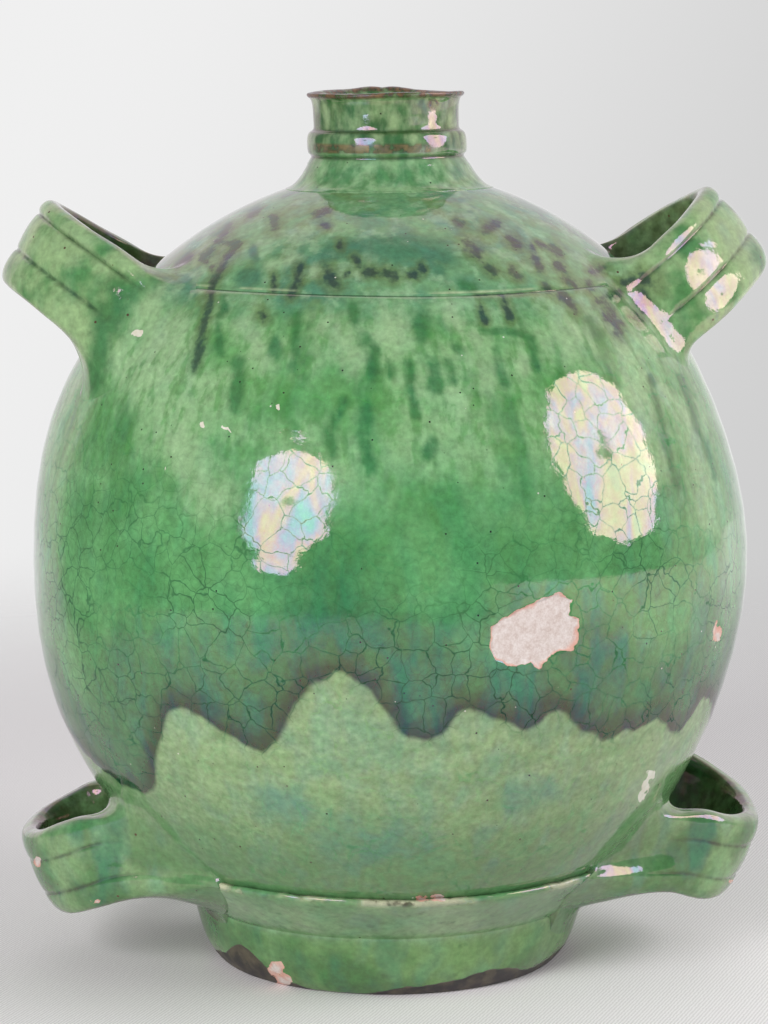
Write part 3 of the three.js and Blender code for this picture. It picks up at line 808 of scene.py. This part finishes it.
def paint_glaze(piece, p, coat):
    """What the glaze reads on the globe, and on what is luted to it."""
    paint(piece, "flow", flow_of(p))
    paint(piece, "coat", coat)
    for name, marks in (("fleck", FLECKS), ("drip", DRIPS), ("pale", PALE), ("teal", TEAL)):
        paint(piece, name, strokes(p, marks))


def small_losses(p, marks):
    """Millimetres inside the nearest small mark of a list: chips, white flakes, and one painted highlight.
    """
    spot = to_pixels(p)
    best = np.full(len(p), UNBROKEN)
    for x, y, half, tall in marks:
        deep = (1 - np.hypot((spot[:, 0] - x) / half, (spot[:, 1] - y) / tall)) * min(half, tall)
        best = np.maximum(best, deep * PIXEL)
    return np.where(p[:, 1] < 30, best, UNBROKEN)


def paint_chips(piece, chip, flake_and_glint):
    """Where the glaze is broken off, and how pink the clay is along the break. One of the white flakes
    is a painted highlight.
    """
    paint(piece, "chip", np.maximum(chip, flake_and_glint))
    paint(piece, "clay", np.where(flake_and_glint > chip, 0.1, 0.8))


# Pieces

def belly():
    """The thrown globe with its floor, the step at the glaze's edge, throwing lines and a sunken chip."""
    floor_top = FLOOR_HEIGHT + FLOOR_THICKNESS
    wall = [(0, FLOOR_HEIGHT)] + globe_arc(FLOOR_HEIGHT, SHOULDER - GROOVE_HALF)
    wall += [(globe_radius(SHOULDER) - GROOVE_DEPTH, SHOULDER)]
    wall += globe_arc(SHOULDER, floor_top, WALL, INSIDE_STEP) + [(0, floor_top)]
    piece = thrown("belly_glazed", wall)

    # Faces are cut finer round the chip, for a sharp edge, and set back on the globe
    middles = np.array([face.center for face in piece.data.polygons]) / MM
    cut_finer(piece, "FACE", (within(LOSS, middles) > -3) & (globe_distance(middles) > -2), 4)
    p = points_of(piece)
    outside = globe_distance(p) > -3
    skin = outside & (p[:, 2] > FLOOR_HEIGHT + 0.5) & (p[:, 2] < SHOULDER - GROOVE_HALF + 0.01)
    centre = np.array([0, 0, EQUATOR])
    p = np.where(skin[:, None], centre + (p - centre) / globe_size(p)[:, None], p)

    coat = above_drip(p)
    chip = np.where(outside, np.maximum(within(LOSS, p), small_losses(p, CHIPS)), UNBROKEN)
    paint_glaze(piece, p, coat)
    paint_chips(piece, chip, np.where(outside, small_losses(p, FLAKES_AND_GLINT), UNBROKEN))
    paint(piece, "lute", np.where(outside & (p[:, 2] > SHOULDER - 0.5), -1, 0))
    lift = 0.25 * smooth(coat, -1.5, 3) + 0.12 * np.exp(-((coat - 5) / 4) ** 2)
    lift += 0.07 * np.sin(p[:, 2] / 2.6 + np.radians(around(p))) * smooth(p[:, 2], 80, 140)
    lift -= 0.9 * smooth(chip, -0.1, 0.9)
    p = p + slope_of(globe_distance, p) * np.where(skin, lift, 0)[:, None]
    move_points(piece, hand_wobble(p))
    return piece


def shoulder_dome():
    """The cap that closes the globe, from the incised line to the neck's bore."""
    top = globe_height(NECK_BORE)
    wall = [(globe_radius(SHOULDER) - GROOVE_DEPTH, SHOULDER)]
    wall += globe_arc(SHOULDER + GROOVE_HALF, top) + globe_arc(top - WALL, SHOULDER, WALL, INSIDE_STEP)
    piece = thrown("shoulder_dome_glazed", wall)
    p = points_of(piece)
    rise = p[:, 2] - SHOULDER
    unbroken = np.full(len(p), UNBROKEN)
    paint_glaze(piece, p, np.full(len(p), COVERED))
    paint_chips(piece, unbroken, unbroken)
    paint(piece, "lute", np.where(rise < 0.5, -1, np.where(rise < GROOVE_HALF + 0.5, 1, 0)))
    move_points(piece, hand_wobble(p))
    return piece


def neck():
    """The collar: a skirt, a ring round its middle, a straight wall and a flared, uneven lip."""
    skirt = globe_height(NECK_SEAT_RADIUS)
    outside = [(NECK_SEAT_RADIUS, 0), (47.4, 0.3), (46, 0.8), (44.2, 1.8), (42.3, 3.4), (40.3, 5.8),
               (38.4, 8.6), (36.9, 11.2), (35.6, 13.3), (34.8, 14.4), (35.3, 15.3), (36.3, 16.2),
               (36.5, 19.2), (36.4, 22), (36.1, 24), (35.2, 25.6), (33.6, 26.4), (33.1, 27.6),
               (33.2, 31), (33.3, 37), (34, 40.4), (35.5, 41.7), (35.9, 42.7), (35, 43.5)]
    inside = [(31.6, 43.3), (29.6, 41), (29.2, 33), (NECK_BORE, 9),
              (NECK_BORE, globe_height(NECK_BORE) - skirt - 3)]
    under = [(r, globe_height(r) - 0.6) for r in (33, 40)]
    piece = thrown("neck_glazed", soften([(r, skirt + h) for r, h in outside + inside]) + under)
    p = points_of(piece)
    rise = p[:, 2] - skirt
    radius = from_axis(p)
    turn = np.radians(around(p))

    # The lip rises most at the back, where fingers left two bumps
    bumps = 1.5 * np.exp(-((np.abs(turn) - 3) / 0.25) ** 2)
    waves = 0.25 * np.sin(2 * turn + 0.6) + 0.15 * np.sin(5 * turn + 1)
    p[:, 2] += smooth(rise, 35, 43) * (waves + bumps)
    swell = 1 + 0.004 * np.sin(3 * turn + 0.5) + 0.003 * np.sin(7 * turn)
    p[:, :2] *= np.where(rise > 11, swell, 1)[:, None]

    # Worn along the lip, on parts of the ring and at one pinhole, and dark in the two turned lines
    lip = smooth(rise, 40.6, 41.8) * (radius > 30)
    band = smooth(np.cos(turn + 0.35), 0.55, 0.75) + smooth(np.cos(turn - 2.6), 0.7, 0.85)
    ring = 0.85 * band * smooth(rise, 16.4, 17.4) * smooth(-rise, -21.4, -20.4) * (radius > 34)
    from_pinhole = np.linalg.norm(to_pixels(p) - (434, 105), axis=1)
    pinhole = smooth(-from_pinhole, -7, -4) * (p[:, 1] < 0) * (radius > 32)
    lines = np.exp(-((rise - 26.3) / 0.9) ** 2) + np.exp(-((rise - 14.6) / 0.9) ** 2)
    paint(piece, "pool", np.clip(lines, 0, 1) * (radius > 32))
    paint(piece, "wear", np.maximum(np.maximum(lip, ring), pinhole))
    move_points(piece, hand_wobble(p))
    return piece


def foot_ring():
    """The ring that the globe is set into, with a turned line and a ragged top edge."""
    outside = [(FOOT_BORE, 0), (FOOT_BORE + 1, 0), (77.5, 0), (79, 0.3), (81.5, 2.6), (86, 9),
               (89.5, 20), (91.6, 28.4), (91.3, 29.4), (92.6, 30.4), (97, 34.5), (105, 42),
               (112.5, 48.2), (115.4, 51), (116, 52.6), (115.2, FOOT_TOP), (113, 53.6)]
    seat = [(r, globe_height(r, -BOWL_DROP)) for r in (112.5, 104, 92, 80, FOOT_BORE)]
    piece = thrown("foot_ring_glazed", soften(outside) + seat)
    p = points_of(piece)
    turn = around(p)
    t = np.radians(turn)
    ledge = smooth(p[:, 2], 49, 52.5) * (from_axis(p) > 112)
    ragged = np.clip(np.sin(9 * t + 1) + np.sin(17 * t + 2.3) + 0.8 * np.sin(41 * t), 0.4, 3) - 0.4
    p[:, 2] -= 0.35 * ledge * ragged
    p[:, :2] *= (1 - 0.0035 * ledge * ragged)[:, None]

    # The glaze was wiped off up to a wavy line, higher at the front left and a little at the front right
    wiped = 4.5 + 13 * np.exp(-((turn + 52) / 9) ** 2) + 4 * np.exp(-((turn - 28) / 22) ** 2)
    wiped += 3 * np.sin(2 * t - 1.1) + 2 * np.sin(5 * t + 0.4) + 1.2 * np.sin(11 * t + 2)
    paint(piece, "wiped", wiped - p[:, 2])
    paint(piece, "wear", ledge)
    paint_chips(piece, small_losses(p, CHIPS), np.full(len(p), UNBROKEN))
    move_points(piece, hand_wobble(p))
    return piece


def strap_outline(width, thickness, grooves):
    """The strap's section, across and out, with its outward directions, grooves and ribs."""
    angle = np.linspace(0, 2 * math.pi, 8001)[:-1]
    half, square = width / 2, 0.6
    a = half * np.sign(np.cos(angle)) * np.abs(np.cos(angle)) ** square
    b = thickness / 2 * np.sign(np.sin(angle)) * np.abs(np.sin(angle)) ** square
    ta, tb = np.gradient(a), np.gradient(b)
    length = np.hypot(ta, tb)

    # Points lie closer where the section turns
    total = np.cumsum(length + 5 * np.abs(np.gradient(np.unwrap(np.arctan2(-ta, tb)))))
    pick = np.searchsorted(total, np.arange(STRAP_POINTS) / STRAP_POINTS * total[-1])
    a, b = a[pick], b[pick]
    normal = np.stack([tb[pick], -ta[pick]], axis=1) / np.maximum(length[pick], 1e-9)[:, None]
    depth, crown = np.zeros(STRAP_POINTS), np.zeros(STRAP_POINTS)
    banks = [-half] + [groove * width for groove in grooves] + [half]
    for low, high in zip(banks, banks[1:]):
        across = (2 * a - low - high) / (high - low)
        crown = np.maximum(crown, np.clip(1 - across ** 2, 0, 1))
    for groove in banks[1:-1]:
        depth = np.maximum(depth, np.exp(-((a - groove) / 0.9) ** 2))
    return a, b, normal, np.where(b > 0, depth, 0), np.where(b > 0, crown, 0)


def skin_normals(rings):
    """Outward directions on a grid of rings."""
    along = np.gradient(rings, axis=0)
    round_it = np.roll(rings, -1, axis=1) - np.roll(rings, 1, axis=1)
    n = np.cross(round_it, along)
    n /= np.maximum(np.linalg.norm(n, axis=2, keepdims=True), 1e-9)
    middle = rings.mean(axis=1, keepdims=True)
    return n * np.sign(np.sum(n * (rings - middle), axis=2).mean())


def strap_axes(side, lift, twist):
    """Directions of a loop: outward, along from root to root, and across the strap."""
    tilt, slant = math.radians(lift), math.radians(twist)
    outward = np.array([side * math.cos(tilt), 0, math.sin(tilt)])
    along = np.array([0, 1, 0])
    across = np.cross(outward, along) * side
    return (outward, along * math.cos(slant) + across * math.sin(slant),
            across * math.cos(slant) - along * math.sin(slant))


def strap_loop(reach, span, arch):
    """Even steps round a loop, out and along, and the direction of each."""
    turn = np.linspace(0, math.pi, 4001)
    u = reach * np.sin(turn) ** (2 / arch)
    w = -span / 2 * np.sign(np.cos(turn)) * np.abs(np.cos(turn)) ** (2 / arch)
    run = np.concatenate([[0], np.cumsum(np.hypot(np.diff(u), np.diff(w)))])
    even = np.linspace(0, run[-1], LOOP_RINGS)
    u, w = np.interp(even, run, u), np.interp(even, run, w)
    tangent = np.gradient(np.stack([u, w], axis=1), axis=0)
    tangent /= np.linalg.norm(tangent, axis=1, keepdims=True)
    tangent[0], tangent[-1] = (1, 0), (-1, 0)
    return u, w, tangent


def root_rings(first, outward, across, droop):
    """Rings from one end of a loop down to the jug's skin, and the last ones under it."""
    start = np.maximum(jug_distance(first), 0)

    def reach_in(depth):
        return first - depth[:, None] * outward + (droop(-depth) - droop(0))[:, None] * across

    rings = []
    for k in range(1, ROOT_RINGS + 1):
        share = 1 - k / (ROOT_RINGS - 2)
        target = start * max(share, 0) ** 2 + min(share, 0) * 60
        low, high = np.zeros(len(first)), np.full(len(first), 90.0)
        for _ in range(30):
            middle = (low + high) / 2
            over = jug_distance(reach_in(middle)) > target
            low, high = np.where(over, middle, low), np.where(over, high, middle)
        rings.append(reach_in(low))
    return rings


def smear(p, rise, across, facing, b, normal, fillet):
    """Spreads a strap's points out over the jug, by a fillet of its own radius to each side."""
    na, no = normal.T
    ra = np.where(na > 0, fillet["top"], fillet["bottom"])
    hug = fillet["hug"] * smooth(p[:, 2], FOOT_TOP - 8, FOOT_TOP + 6)
    ro = np.where(no > 0, fillet["outer"] * (1 - hug), fillet["inner"])

    def flare(radius):
        near = 1 - np.clip(rise, 0, radius) / radius
        return radius * (1 - np.sqrt(np.maximum(1 - near * near, 0)))

    grown_a, grown_o = np.abs(na) * flare(ra), np.abs(no) * flare(ro)
    pinch = b * np.clip(grown_a / ra, 0, 1) * fillet["pinch"]
    spread = across * (np.sign(na) * grown_a)[:, None] + facing * (np.sign(no) * grown_o - pinch)[:, None]
    moved = np.clip(np.linalg.norm(spread, axis=1) / 0.5, 0, 1)
    p = p + spread
    for _ in range(5):
        p = p - slope_of(jug_distance, p) * ((jug_distance(p) - rise) * moved)[:, None]
    return p


def strap(name, side, seat, gap, width, lift, twist, seed, kind):
    """A pulled strap bent to a loop. Its two roots are smeared out over the jug."""
    height = EQUATOR + seat
    root = np.array([side * globe_radius(height), 0, height])
    outward, along, across = strap_axes(side, lift, twist)
    a, b, normal, depth, crown = strap_outline(width, kind["thickness"], kind["grooves"])
    u, w, tangent = strap_loop(gap + kind["thickness"] / 2, kind["span"], kind["arch"])

    def droop(out):
        return -kind["sag"] * (1 - smooth(out, -SAG_REACH, SAG_REACH))

    line = root + np.outer(u, outward) + np.outer(w, along) + np.outer(droop(u), across)
    facing = np.outer(tangent[:, 1], outward) - np.outer(tangent[:, 0], along)
    loop = line[:, None] + a[None, :, None] * across + b[None, :, None] * facing[:, None]
    rings = np.concatenate([root_rings(loop[0], outward, across, droop)[::-1], loop,
                            root_rings(loop[-1], outward, across, droop)])

    # The section's values on every ring, and each ring's on all its points
    a, b, depth, crown = (np.tile(value, len(rings)) for value in (a, b, depth, crown))
    normal = np.tile(normal, (len(rings), 1))
    facing = np.pad(facing, ((ROOT_RINGS, ROOT_RINGS), (0, 0)), mode="edge")
    facing = np.repeat(facing, STRAP_POINTS, axis=0)
    place = np.repeat(np.linspace(0, 1, len(rings)), STRAP_POINTS)

    p = rings.reshape(-1, 3)
    rise = jug_distance(p)
    p = smear(p, rise, across, facing, b, normal, kind["fillet"])
    out = skin_normals(p.reshape(rings.shape)).reshape(-1, 3)
    fade = smooth(rise, *kind["start"])
    uneven = 1 + 0.25 * np.sin(place * 23 + seed) + 0.15 * np.sin(place * 57 + 2 * seed)
    lumps = np.sin(p[:, 0] / 9 + seed) * np.sin(p[:, 1] / 11 + 2 * seed) * np.sin(p[:, 2] / 8 + 3 * seed)
    lumps *= kind["lump"] * smooth(rise, 1.5, 11)
    bulge = np.exp(-((rise - 24) / 8) ** 2) - 0.8 * np.exp(-((rise - 9) / 5) ** 2)
    bulge *= kind["fillet"]["bulge"] * (b > 0)
    relief = (kind["ribs"] * crown - kind["press"] * depth * uneven) * fade + lumps + bulge

    piece, order = tube(name, len(rings), STRAP_POINTS)
    p = (p + out * relief[:, None])[order]
    move_points(piece, hand_wobble(p))
    face_outwards(60)
    paint_glaze(piece, p, above_drip(p))
    paint(piece, "away", smooth(jug_distance(p), 0.5, 14))
    paint(piece, "pool", (depth * fade)[order])
    paint(piece, "rim", (smooth(np.abs(a), width / 2 - 2.2, width / 2 - 0.4) * fade)[order])
    paint(piece, "inner", smooth(-b, 0.5, 3)[order])
    chip, flake_and_glint = (np.where(b[order] > -2, small_losses(p, marks), UNBROKEN) for marks in (CHIPS, FLAKES_AND_GLINT))
    paint_chips(piece, chip, flake_and_glint)
    return piece


# Two kinds of strap: the loop's width and its power, the grooves as shares of the strap's width, how deep
# they are pressed, how far from the jug they fade in, the ribs' rise, the finger marks, and the legs' sag
UPPER = {
    "span": 98, "thickness": 10, "arch": 1.55, "grooves": (-0.13, 0.31), "press": 0.85,
    "start": (1.5, 11), "ribs": 1, "lump": 0.35, "sag": 0,
}
LOWER = {
    "span": 100, "thickness": 12, "arch": 2.2, "grooves": (-0.21, 0.19), "press": 0.45,
    "start": (8, 26), "ribs": 0.4, "lump": 0.9, "sag": 11,
}
# How the roots are smeared out: how far to each side, how much they are pinched flat and bulge, and how
# much closer they hug the globe than the foot
FAN = {"outer": 34, "inner": 10, "top": 14, "bottom": 26, "pinch": 0.85, "bulge": 0.4, "hug": 0}
TONGUE = {"outer": 15, "inner": 10, "top": 20, "bottom": 9, "pinch": 0.85, "bulge": 0.35, "hug": 0}
WEB = {"outer": 40, "inner": 28, "top": 14, "bottom": 20, "pinch": 0.2, "bulge": 0.3, "hug": 0.25}
KEEL = {"outer": 40, "inner": 9, "top": 10, "bottom": 26, "pinch": 0.2, "bulge": 0.3, "hug": 0.4}
# Side, seat above the widest line, gap for fingers, width, lift and twist in degrees, seed, and kind
HANDLES = {
    "upper_left_handle": (-1, 116.5, 43, 43, 31.5, 0, 0.3, UPPER | {"fillet": FAN, "start": (6, 18)}),
    "upper_right_handle": (1, 118, 42.5, 46, 39, 0, 1.7, UPPER | {"fillet": TONGUE}),
    "lower_left_handle": (-1, -129, 38, 41, -25, -3.4, 2.9, LOWER | {"fillet": WEB}),
    "lower_right_handle": (1, -124, 36.5, 42, -23, 5, 4.2, LOWER | {"fillet": KEEL}),
}

globe = globe_glaze()
finish_piece(belly(), "belly", globe)
finish_piece(shoulder_dome(), "shoulder_dome", globe)
finish_piece(neck(), "neck", neck_glaze())
finish_piece(foot_ring(), "foot_ring", foot_glaze())
straps = strap_glaze()
for handle, sizes in HANDLES.items():
    finish_piece(strap(handle + "_glazed", *sizes), handle, straps)


# Stage: cloth-covered table, soft lamps and a pale room

def table_cloth():
    """White cotton in a plain weave, drawn coarser than it is, a thread every 1.6 mm, to show. It fades
    out away from the jug, into the pale room."""
    material, tree, where = blank("cotton_cloth")
    turned = add(tree, "Mapping", {"Vector": where, "Rotation": (0, 0, math.radians(24))})
    thread = 2 * math.pi * every(1.6) / 20
    bands = {"Vector": turned, "Scale": thread, "Distortion": 2, "Detail": 2, "Detail Scale": 1.5}
    warp = add(tree, "TexWave", bands, bands_direction="X")
    weft = add(tree, "TexWave", bands, bands_direction="Y")
    weave = add(tree, "Math", {0: warp, 1: weft}, operation="ADD")
    weave = add(tree, "MapRange", {0: weave, 1: 0.3, 2: 1.7})
    colour = add(tree, "Mix", {0: weave, 6: "#dfdadc", 7: "#fefafc"})
    cloth = add(tree, "BsdfDiffuse", {"Color": colour})
    far = add(tree, "VectorMath", {0: where}, operation="LENGTH", out="Value")
    fade = add(tree, "MapRange", {0: far, 1: 0.35, 2: 1.3})
    clear = add(tree, "BsdfTransparent")
    shader = add(tree, "MixShader", {0: fade, 1: cloth, 2: clear})
    add(tree, "OutputMaterial", {"Surface": shader})
    return material


bpy.ops.object.select_all(action="DESELECT")
bpy.ops.mesh.primitive_circle_add(vertices=96, radius=1.4, fill_type="NGON")
table = bpy.context.object
table.name = "table"
table.data.materials.append(table_cloth())

# Lamps, in metres
LAMPS_ROUND = Vector((0, 0, 0.2))
GLOW_AWAY = 1.68
GLINT_AWAY = 1.6
FLASH_HEAD = 0.055, 0.08  # the dark middle's radius, and that of its soft edge


def umbrella(name, toward, size, glow, glint):
    """A soft lamp: a round umbrella with its flash head dark in the middle, as a glow that lights the jug
    and a glint that mirrors in its glaze."""
    right = camera_axes()[1]
    inward = np.cross((0, 0, 1), right)
    direction = Vector(right * toward[0] + inward * toward[1] + np.array([0, 0, toward[2]])).normalized()
    dark, soft = FLASH_HEAD
    for kind, radiance, away in (("glow", glow, GLOW_AWAY), ("glint", glint, GLINT_AWAY)):
        lamp = bpy.data.lights.new(name + "_" + kind, "AREA")
        lamp.shape = "ELLIPSE"
        lamp.size, lamp.size_y = size
        lamp.energy = radiance * math.pi * math.pi / 4 * size[0] * size[1]
        tree = empty_tree(lamp)
        spot = add(tree, "NewGeometry", out="Parametric")
        off = add(tree, "VectorMath", {0: spot, 1: (0.5, 0.5, 0)}, operation="SUBTRACT")
        off = add(tree, "VectorMath", {0: off, 1: (*size, 0)}, operation="MULTIPLY")
        off = add(tree, "VectorMath", {0: off}, operation="LENGTH", out="Value")
        head = add(tree, "MapRange", {0: off, 1: dark, 2: soft, 3: 0.1, 4: 1})
        shader = add(tree, "Emission", {"Strength": head})
        add(tree, "OutputLight", {"Surface": shader})
        holder = bpy.data.objects.new(lamp.name, lamp)
        bpy.context.scene.collection.objects.link(holder)
        holder.location = LAMPS_ROUND + away * direction
        holder.rotation_euler = direction.to_track_quat("Z", "Y").to_euler()
        holder.visible_camera = False
        holder.visible_diffuse = kind == "glow"
        holder.visible_glossy = kind == "glint"


umbrella("umbrella_left", (-0.504, -0.807, 0.309), (0.75, 0.92), 12.8, 6.4)
umbrella("umbrella_right", (0.871, -0.201, 0.355), (1.11, 1.25), 4.6, 5.8)


def pale_room():
    """Dim walls with a bright one behind, and a bright floor to the right, for the glaze to mirror. The
    camera sees a plain backdrop that darkens to the lower right."""
    world = bpy.data.worlds.new("room")
    tree = empty_tree(world)
    aim = add(tree, "TexCoord", out="Generated")
    toward = add(tree, "VectorMath", {0: aim, 1: (0.35, 1, 0)}, operation="DOT_PRODUCT", out="Value")
    aside = add(tree, "SeparateXYZ", {0: aim}, out="X")
    level = add(tree, "SeparateXYZ", {0: aim}, out="Z")
    walls = add(tree, "MapRange", {0: toward, 1: 0.28, 2: 0.5, 3: 0.26, 4: 0.95})
    ground = add(tree, "MapRange", {0: aside, 1: 0.3, 2: 0.7, 4: 1.4})
    ground = add(tree, "MapRange", {0: level, 1: -0.06, 2: -0.1, 3: 0, 4: ground})
    room = add(tree, "Math", {0: walls, 1: ground}, operation="MAXIMUM")
    corner = add(tree, "VectorMath", {0: aim, 1: (1, 0, -0.45)}, operation="DOT_PRODUCT", out="Value")
    backdrop = add(tree, "MapRange", {0: corner, 1: -0.04, 2: 0.31, 3: 0.87, 4: 0.6})
    shown = add(tree, "LightPath", out="Is Camera Ray")
    strength = add(tree, "Mix", {0: shown, 2: room, 3: backdrop}, data_type="FLOAT")
    shader = add(tree, "Background", {"Color": "#ffffff", "Strength": strength})
    add(tree, "OutputWorld", {"Surface": shader})
    return world


bpy.context.scene.world = pale_room()

# Camera
camera_data = bpy.data.cameras.new("camera")
camera_data.lens = FOCAL_PIXELS / PHOTO[1] * camera_data.sensor_width
camera_data.shift_x = (PHOTO[0] / 2 - AXIS_PIXEL[0]) / PHOTO[1]
camera_data.clip_end = 200
camera = bpy.data.objects.new("camera", camera_data)
bpy.context.scene.collection.objects.link(camera)
camera.location = camera_axes()[0] * MM
camera.rotation_euler = (math.pi / 2 - CAMERA_PITCH, 0, -CAMERA_TURN)
bpy.context.scene.camera = camera
bpy.context.scene.view_settings.view_transform = "Standard"
